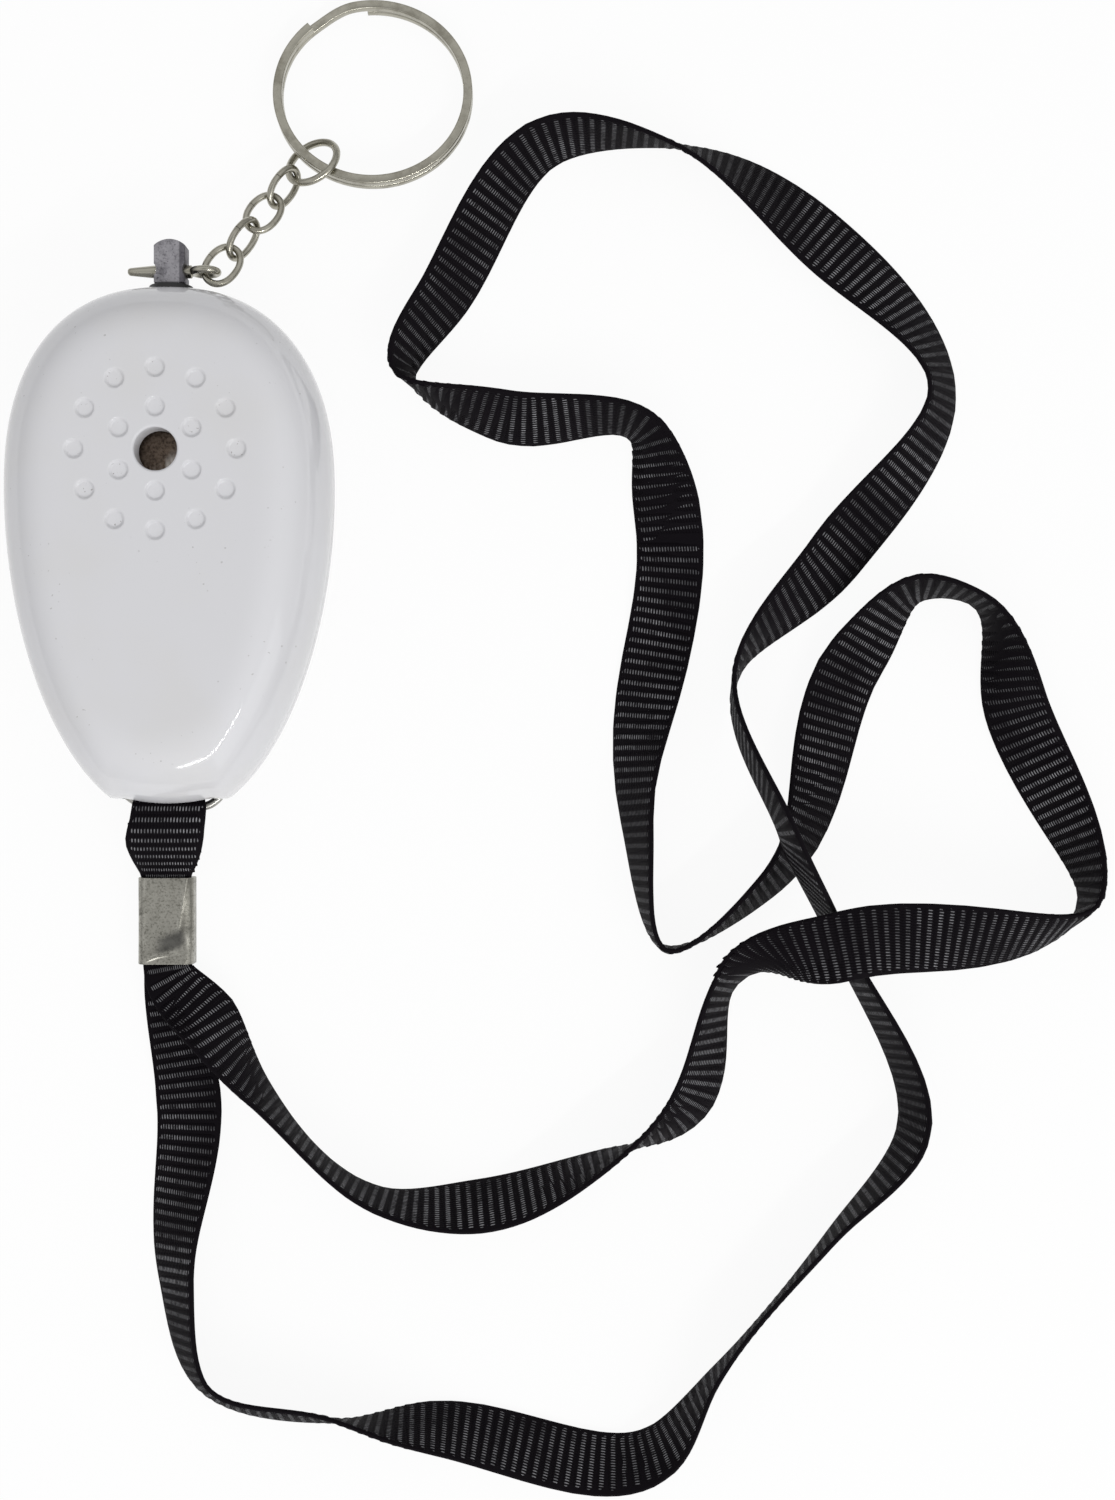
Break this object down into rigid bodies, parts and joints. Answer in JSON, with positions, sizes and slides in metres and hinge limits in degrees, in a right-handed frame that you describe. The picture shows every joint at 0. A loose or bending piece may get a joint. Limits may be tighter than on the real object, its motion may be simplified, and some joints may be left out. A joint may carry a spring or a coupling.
{
  "type": "personal safety alarm",
  "caption": "Egg-shaped handheld alarm with a pull pin on a chain and split key ring, a sounder behind a dimpled front, and a webbing lanyard on a wire bail.",
  "frame": {"origin": "centre of the flat back face of the casing, which lies on the table", "axes": "+Z out of the front of the casing, +Y along the casing towards the pull pin, +X to the right"},
  "size_m": [0.1589, 0.2201, 0.022],
  "materials": {
    "shell_white": "gloss",
    "socket_black": "matte",
    "zinc_grey": "satin",
    "nickel": "satin",
    "steel_wire": "satin",
    "webbing": "woven",
    "brass": "satin",
    "ceramic": "matte",
    "gasket": "matte",
    "board_green": "satin",
    "chip_black": "matte",
    "coil": "satin",
    "can_blue": "gloss",
    "cell": "satin",
    "lead_red": "satin"
  },
  "bodies": {
    "casing": {"front_shell": "shell_white", "back_shell": "shell_white", "case_screws": "steel_wire", "pin_socket": "socket_black", "bail_wire": "steel_wire", "lanyard_crimp": "nickel", "lanyard_end_loop": "webbing", "lanyard_strap": "webbing", "piezo_gasket": "gasket", "piezo_plate": "brass", "piezo_ceramic": "ceramic", "piezo_leads": "lead_red", "circuit_board": "board_green", "board_screws": "steel_wire", "driver_chip": "chip_black", "boost_coil": "coil", "transistor": "chip_black", "capacitor": "can_blue", "switch_post": "brass", "leaf_anchor": "brass", "battery": "cell", "contact_positive": "nickel", "contact_negative": "nickel", "battery_leads": "lead_red"},
    "pin": {"pull_pin": "zinc_grey", "pin_tip": "chip_black"},
    "cotter": {"cotter_pin": "nickel"},
    "link_1": {"chain_link_1": "nickel"},
    "link_2": {"chain_link_2": "nickel"},
    "link_3": {"chain_link_3": "nickel"},
    "link_4": {"chain_link_4": "nickel"},
    "jump": {"jump_ring": "nickel"},
    "key": {"key_ring": "nickel"},
    "leaf": {"switch_leaf": "brass"}
  },
  "joints": [
    {"name": "pin_slide", "type": "slide", "parent": "casing", "child": "pin", "axis": [0, 1, 0], "range_m": [0, 0.018]},
    {"name": "cotter_swing", "type": "hinge", "parent": "pin", "child": "cotter", "pos_m": [0, 0.0398, 0.01], "axis": [1, 0, 0], "range_deg": [0, 35]},
    {"name": "link_1_turn", "type": "hinge", "parent": "cotter", "child": "link_1", "pos_m": [0.00445, 0.0398, 0.01], "axis": [0, 0, 1], "range_deg": [0, 18]},
    {"name": "link_2_lift", "type": "hinge", "parent": "link_1", "child": "link_2", "pos_m": [0.00862, 0.04306, 0.00843], "axis": [0.8387, -0.5446, 0], "range_deg": [0, 15]},
    {"name": "link_3_turn", "type": "hinge", "parent": "link_2", "child": "link_3", "pos_m": [0.01137, 0.04729, 0.00679], "axis": [0.1683, 0.2592, 0.9511], "range_deg": [0, 18]},
    {"name": "link_4_lift", "type": "hinge", "parent": "link_3", "child": "link_4", "pos_m": [0.01411, 0.05152, 0.00516], "axis": [0.8387, -0.5446, 0], "range_deg": [0, 15]},
    {"name": "jump_ring_lift", "type": "hinge", "parent": "link_4", "child": "jump", "pos_m": [0.01717, 0.05622, 0.00333], "axis": [0.8387, -0.5446, 0], "range_deg": [0, 12]},
    {"name": "key_ring_flip", "type": "hinge", "parent": "jump", "child": "key", "pos_m": [0.01963, 0.05752, 0.00355], "axis": [0.7771, -0.6293, 0], "range_deg": [0, 25]},
    {"name": "leaf_swing", "type": "hinge", "parent": "casing", "child": "leaf", "pos_m": [-0.0105, 0.0257, 0.01125], "axis": [0, 1, 0], "range_deg": [0, 10.5]}
  ],
  "couplings": [
    {"joint": "leaf_swing", "follows": "pin_slide", "rad_per_m": 10.1}
  ]
}
